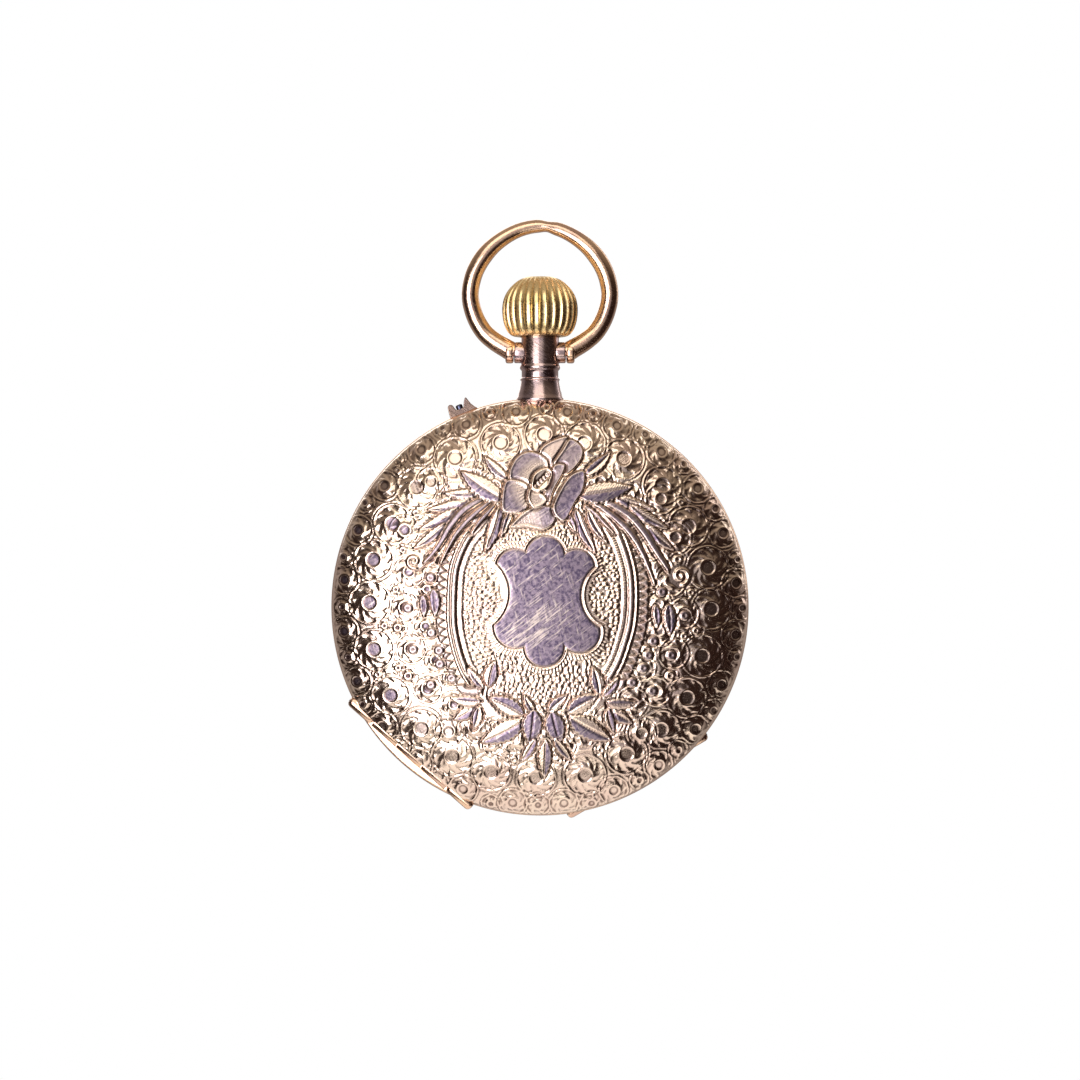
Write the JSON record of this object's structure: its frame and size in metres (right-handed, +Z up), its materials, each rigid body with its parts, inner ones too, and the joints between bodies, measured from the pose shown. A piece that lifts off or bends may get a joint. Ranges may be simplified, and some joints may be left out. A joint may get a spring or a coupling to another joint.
{
  "type": "hunter pocket watch",
  "caption": "Hunter-cased pocket watch hanging from its bow, with hinged lids, dust cover, winding crown, set pin, dial, hands and a geared movement.",
  "frame": {"origin": "middle of the bow's inner surface at its top, where a chain or hook would bear", "axes": "+Z up along the pendant, as the watch hangs; the engraved front lid faces -Y; +X is to the right seen from the front"},
  "size_m": [0.05, 0.0148, 0.0721],
  "materials": {
    "case_gold": "polished rose gold",
    "crown_gold": "polished yellow gold",
    "brass": "satin",
    "gilt_plate": "frosted gilt",
    "steel": "polished",
    "blued_steel": "heat-blued",
    "enamel": "gloss",
    "glass": "clear"
  },
  "bodies": {
    "bow": {"bow": "case_gold"},
    "case": {"case_middle": "case_gold", "pendant": "case_gold", "glass_bezel": "case_gold", "set_pin_guard": "case_gold", "mainplate": "gilt_plate", "barrel_bridge": "gilt_plate", "train_bridge": "gilt_plate", "balance_cock": "gilt_plate", "pallet_cock": "gilt_plate", "front_hinge_pin": "steel", "rear_hinge_pin": "steel", "dust_cover_hinge_pin": "steel", "latch_spring": "steel", "lift_spring": "steel", "minute_wheel_stud": "steel", "barrel_bridge_screw_a": "blued_steel", "barrel_bridge_screw_b": "blued_steel", "train_bridge_screw_a": "blued_steel", "train_bridge_screw_b": "blued_steel", "balance_cock_screw": "blued_steel", "pallet_cock_screw": "blued_steel", "hairspring": "blued_steel", "crown_wheel_core": "blued_steel", "click_screw": "blued_steel", "dial": "enamel", "crystal": "glass"},
    "front_lid": {"front_cover": "case_gold"},
    "rear_lid": {"rear_cover": "case_gold"},
    "dust_lid": {"dust_cover": "crown_gold"},
    "push_piece": {"push_sleeve": "steel"},
    "crown": {"crown": "crown_gold", "winding_stem": "steel"},
    "winding_pinion": {"winding_pinion": "steel"},
    "crown_wheel": {"crown_wheel": "steel"},
    "ratchet": {"ratchet_wheel": "steel", "barrel_arbor": "steel", "ratchet_screw": "blued_steel"},
    "click": {"click": "steel"},
    "set_pin": {"set_pin": "blued_steel"},
    "centre": {"centre_wheel": "brass", "centre_pinion": "steel", "cannon_pinion": "steel", "minute_hand": "blued_steel"},
    "barrel": {"barrel": "brass", "barrel_cover": "brass", "mainspring": "blued_steel"},
    "third": {"third_wheel": "brass", "third_pinion": "steel"},
    "fourth": {"fourth_wheel": "brass", "fourth_pinion": "steel", "seconds_hand": "blued_steel"},
    "escape": {"escape_wheel": "steel", "escape_pinion": "steel"},
    "minute_wheel": {"minute_wheel": "brass"},
    "hour": {"hour_wheel": "brass", "hour_hand": "blued_steel"},
    "lever": {"pallet_fork": "steel"},
    "balance": {"balance_wheel": "brass", "balance_staff": "steel"}
  },
  "joints": [
    {"name": "bow_pivot", "type": "hinge", "parent": "bow", "child": "case", "pos_m": [0, 0, -0.0144], "axis": [1, 0, 0], "range_deg": [-90, 90]},
    {"name": "front_cover_hinge", "type": "hinge", "parent": "case", "child": "front_lid", "pos_m": [-0.01541, -0.00127, -0.06238], "axis": [0.7501, 0, -0.6613], "range_deg": [0, 90]},
    {"name": "rear_cover_hinge", "type": "hinge", "parent": "case", "child": "rear_lid", "pos_m": [0.01165, 0.00127, -0.06508], "axis": [-0.866, 0, -0.5], "range_deg": [0, 90]},
    {"name": "dust_cover_hinge", "type": "hinge", "parent": "case", "child": "dust_lid", "pos_m": [0.01095, 0.00235, -0.06387], "axis": [-0.866, 0, -0.5], "range_deg": [0, 54]},
    {"name": "crown_push", "type": "slide", "parent": "case", "child": "push_piece", "axis": [0, 0, -1], "range_m": [0, 0.0006], "stiffness_N_per_m": 1000, "springref_m": -0.001},
    {"name": "crown_turn", "type": "hinge", "parent": "push_piece", "child": "crown", "pos_m": [0, 0, -0.0089], "axis": [0, 0, 1], "continuous": true},
    {"name": "winding_pinion_turn", "type": "hinge", "parent": "case", "child": "winding_pinion", "pos_m": [0, 0, -0.0307], "axis": [0, 0, 1], "continuous": true},
    {"name": "crown_wheel_turn", "type": "hinge", "parent": "case", "child": "crown_wheel", "pos_m": [0, 0.0035, -0.03271], "axis": [0, -1, 0], "continuous": true},
    {"name": "ratchet_turn", "type": "hinge", "parent": "case", "child": "ratchet", "pos_m": [-0.00708, 0.0035, -0.03898], "axis": [0, -1, 0], "continuous": true},
    {"name": "click_pivot", "type": "hinge", "parent": "case", "child": "click", "pos_m": [-0.0122, 0.0035, -0.0337], "axis": [0, 1, 0], "range_deg": [0, 8], "stiffness_Nm_per_rad": 0.001, "springref_deg": -5.73},
    {"name": "set_pin_push", "type": "slide", "parent": "case", "child": "set_pin", "axis": [0.3746, 0, -0.9272], "range_m": [0, 0.0006], "stiffness_N_per_m": 400, "springref_m": -0.0005},
    {"name": "minute_turn", "type": "hinge", "parent": "case", "child": "centre", "pos_m": [0, 0, -0.0449], "axis": [0, 1, 0], "continuous": true},
    {"name": "barrel_turn", "type": "hinge", "parent": "case", "child": "barrel", "pos_m": [-0.00708, 0.001, -0.03898], "axis": [0, 1, 0], "continuous": true},
    {"name": "third_turn", "type": "hinge", "parent": "case", "child": "third", "pos_m": [0.00484, 0.001, -0.04834], "axis": [0, 1, 0], "continuous": true},
    {"name": "seconds_turn", "type": "hinge", "parent": "case", "child": "fourth", "pos_m": [0.0086, 0.001, -0.0449], "axis": [0, 1, 0], "continuous": true},
    {"name": "escape_turn", "type": "hinge", "parent": "case", "child": "escape", "pos_m": [0.01068, 0.001, -0.04881], "axis": [0, 1, 0], "continuous": true},
    {"name": "minute_wheel_turn", "type": "hinge", "parent": "case", "child": "minute_wheel", "pos_m": [-0.00294, -0.001, -0.04737], "axis": [0, 1, 0], "continuous": true},
    {"name": "hour_turn", "type": "hinge", "parent": "case", "child": "hour", "pos_m": [0, -0.002, -0.0449], "axis": [0, 1, 0], "continuous": true},
    {"name": "lever_swing", "type": "hinge", "parent": "case", "child": "lever", "pos_m": [0.00922, 0.001, -0.05166], "axis": [0, 1, 0], "range_deg": [-5, 5]},
    {"name": "balance_swing", "type": "hinge", "parent": "case", "child": "balance", "pos_m": [0.0066, 0.0018, -0.0568], "axis": [0, 1, 0], "range_deg": [-220, 220], "stiffness_Nm_per_rad": 0.00000025}
  ],
  "couplings": [
    {"joint": "dust_cover_hinge", "follows": "rear_cover_hinge", "ratio": 0.6},
    {"joint": "winding_pinion_turn", "follows": "crown_turn", "ratio": 1},
    {"joint": "crown_wheel_turn", "follows": "crown_turn", "ratio": 0.44444},
    {"joint": "ratchet_turn", "follows": "crown_turn", "ratio": -0.32},
    {"joint": "minute_turn", "follows": "seconds_turn", "ratio": 0.016667},
    {"joint": "barrel_turn", "follows": "seconds_turn", "ratio": -0.0020833},
    {"joint": "third_turn", "follows": "seconds_turn", "ratio": -0.13333},
    {"joint": "escape_turn", "follows": "seconds_turn", "ratio": -10},
    {"joint": "minute_wheel_turn", "follows": "seconds_turn", "ratio": -0.0055556},
    {"joint": "hour_turn", "follows": "seconds_turn", "ratio": 0.0013889}
  ]
}
